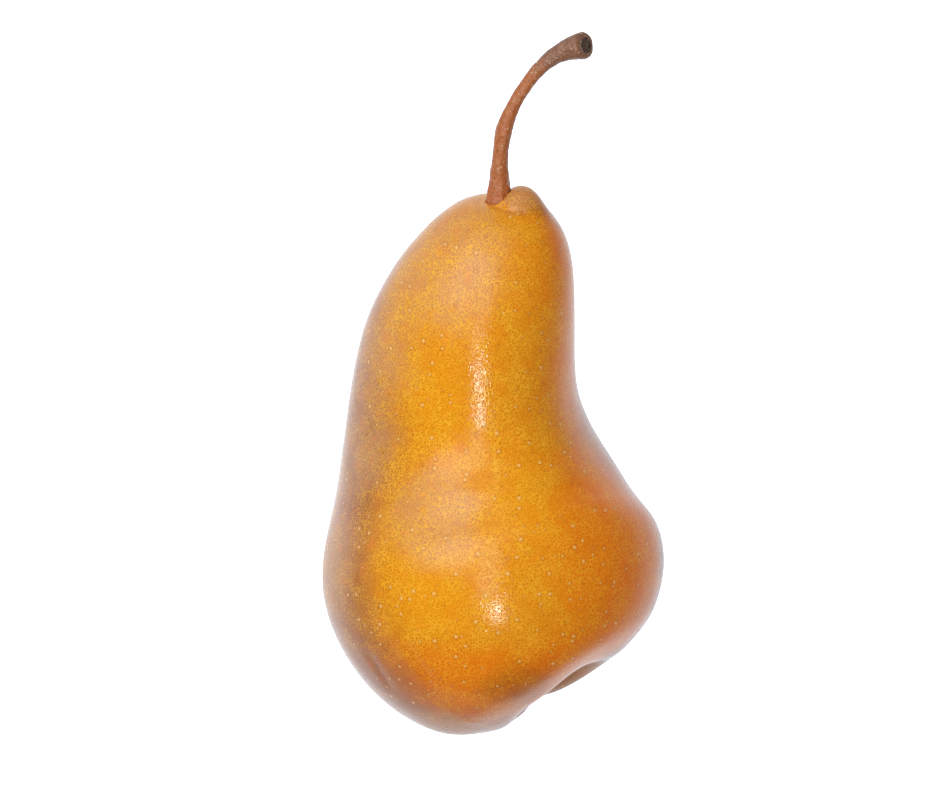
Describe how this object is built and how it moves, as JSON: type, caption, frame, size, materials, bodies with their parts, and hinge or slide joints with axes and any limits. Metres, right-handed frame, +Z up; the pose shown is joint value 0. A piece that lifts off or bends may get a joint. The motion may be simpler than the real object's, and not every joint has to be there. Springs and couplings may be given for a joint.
{
  "type": "pear",
  "caption": "Whole ripe pear with a bent neck, russet skin, curved woody stem and dried calyx, lying on a small flat spot of its flank.",
  "frame": {"origin": "middle of the small flat spot on the lower flank that the pear rests on", "axes": "+Z up, square to the surface it lies on; +Y along the pear from its base lobes towards its stem; +X towards the hollow side of the neck's bend"},
  "size_m": [0.0703, 0.1441, 0.0709],
  "materials": {
    "skin": "satin",
    "stem_bark": "matte",
    "dried_calyx": "matte"
  },
  "bodies": {
    "root": {"fruit": "skin", "stem": "stem_bark", "calyx": "dried_calyx"}
  },
  "joints": []
}
